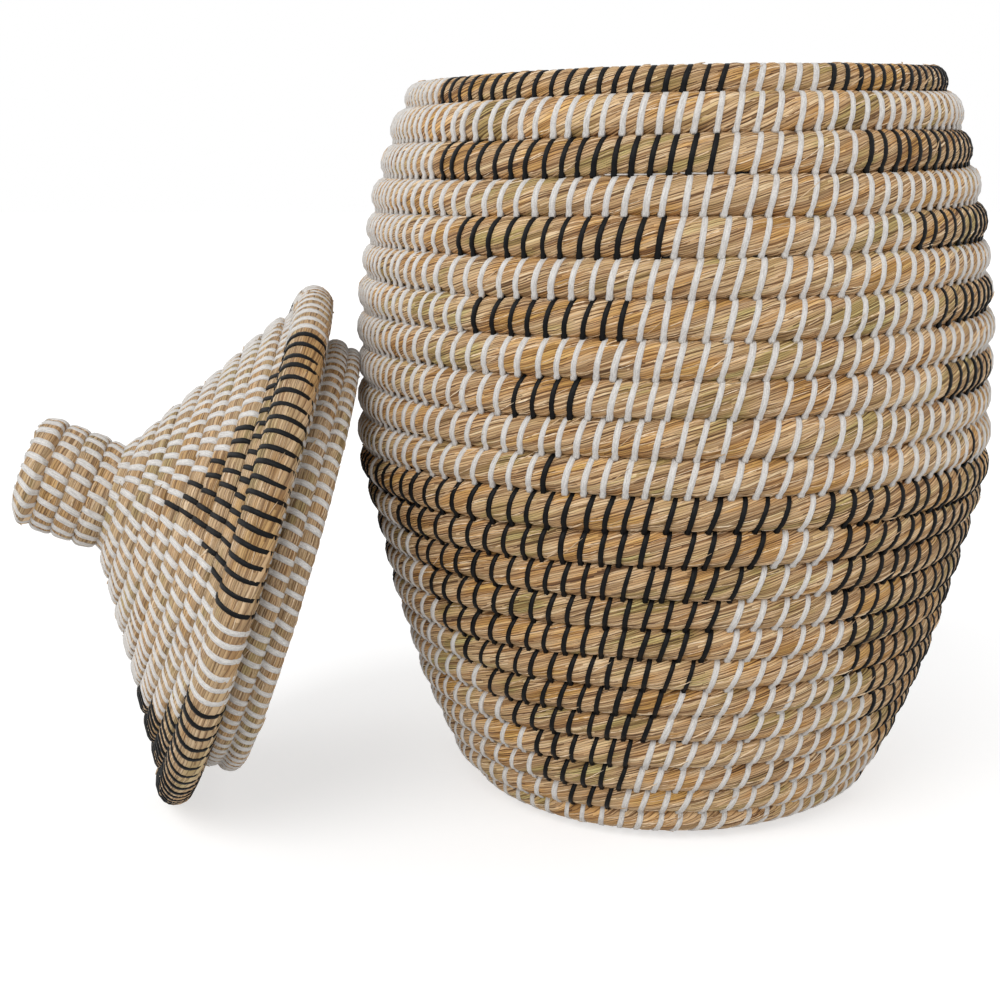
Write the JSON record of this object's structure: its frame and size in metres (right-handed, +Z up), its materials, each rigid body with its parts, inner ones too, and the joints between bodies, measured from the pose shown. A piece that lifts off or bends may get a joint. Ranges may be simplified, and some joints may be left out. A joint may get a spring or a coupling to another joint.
{
  "type": "lidded laundry basket",
  "caption": "Tall barrel-shaped laundry basket coiled from grass and bound with plastic strips, with its conical lid off and leaning on the side.",
  "frame": {"origin": "where the basket's axis meets the floor, at the middle of the flat base", "axes": "+Z up along the basket's axis, -Y to the front, +X away from the side on which the lid leans"},
  "size_m": [0.5881, 0.3826, 0.4392],
  "materials": {
    "grass": "dry grass, matte, in slanting strands",
    "white_binding": "flat plastic strip, matte with a slight sheen",
    "black_binding": "flat plastic strip, matte with a slight sheen"
  },
  "bodies": {
    "basket": {"base_start": "grass", "base_coil": "grass", "heel_coil": "grass", "lower_wall_coil": "grass", "waist_coil": "grass", "lower_belly_coil": "grass", "belly_coil": "grass", "shoulder_coil": "grass", "neck_coil": "grass", "rim_coil": "grass"},
    "lid": {"knob_start": "grass", "knob_coil": "grass", "upper_cone_coil": "grass", "lower_cone_coil": "grass", "brim_coil": "grass", "seat_coil": "grass"}
  },
  "joints": [
    {"name": "lid_lift", "type": "slide", "parent": "basket", "child": "lid", "axis": [0, 0, 1], "range_m": [0, 0.5]}
  ]
}
